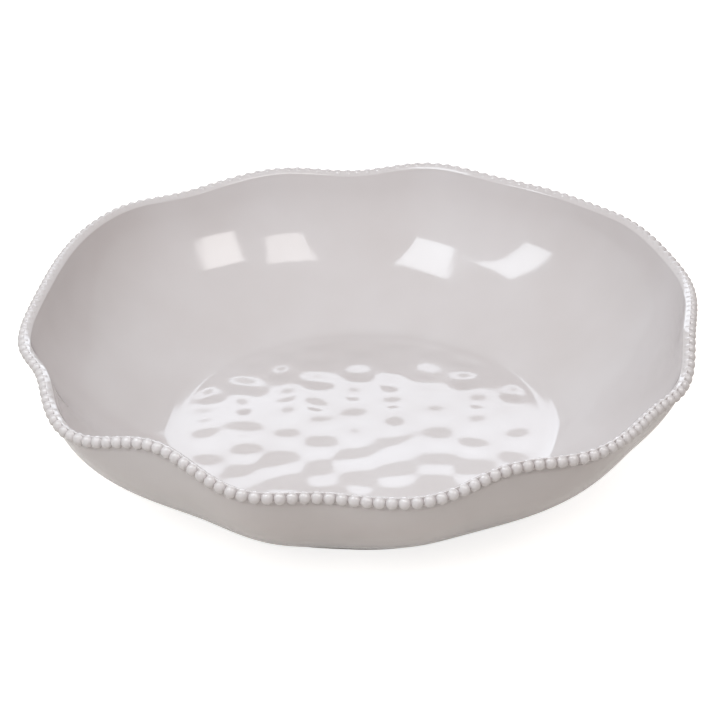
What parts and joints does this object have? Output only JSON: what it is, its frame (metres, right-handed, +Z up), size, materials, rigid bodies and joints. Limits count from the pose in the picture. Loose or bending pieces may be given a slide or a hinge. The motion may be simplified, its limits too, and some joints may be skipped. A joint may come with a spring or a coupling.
{
  "type": "serving bowl",
  "caption": "Wide round serving bowl with a softly ruffled rim edged with round beads, a hammered flat well and a low foot ring.",
  "frame": {"origin": "centre of the foot ring, on the surface that the bowl stands on", "axes": "+Z up out of the bowl's mouth, +X to the right and -Y towards the viewer of the reference view"},
  "size_m": [0.3393, 0.3444, 0.0833],
  "materials": {
    "glossy_moulding": "pale warm grey moulded melamine, glossy, lightly hammered on the floor"
  },
  "bodies": {
    "root": {"fluted_wall": "glossy_moulding", "rim_lip": "glossy_moulding", "well_floor": "glossy_moulding", "foot_ring": "glossy_moulding", "bead_row": "glossy_moulding"}
  },
  "joints": []
}
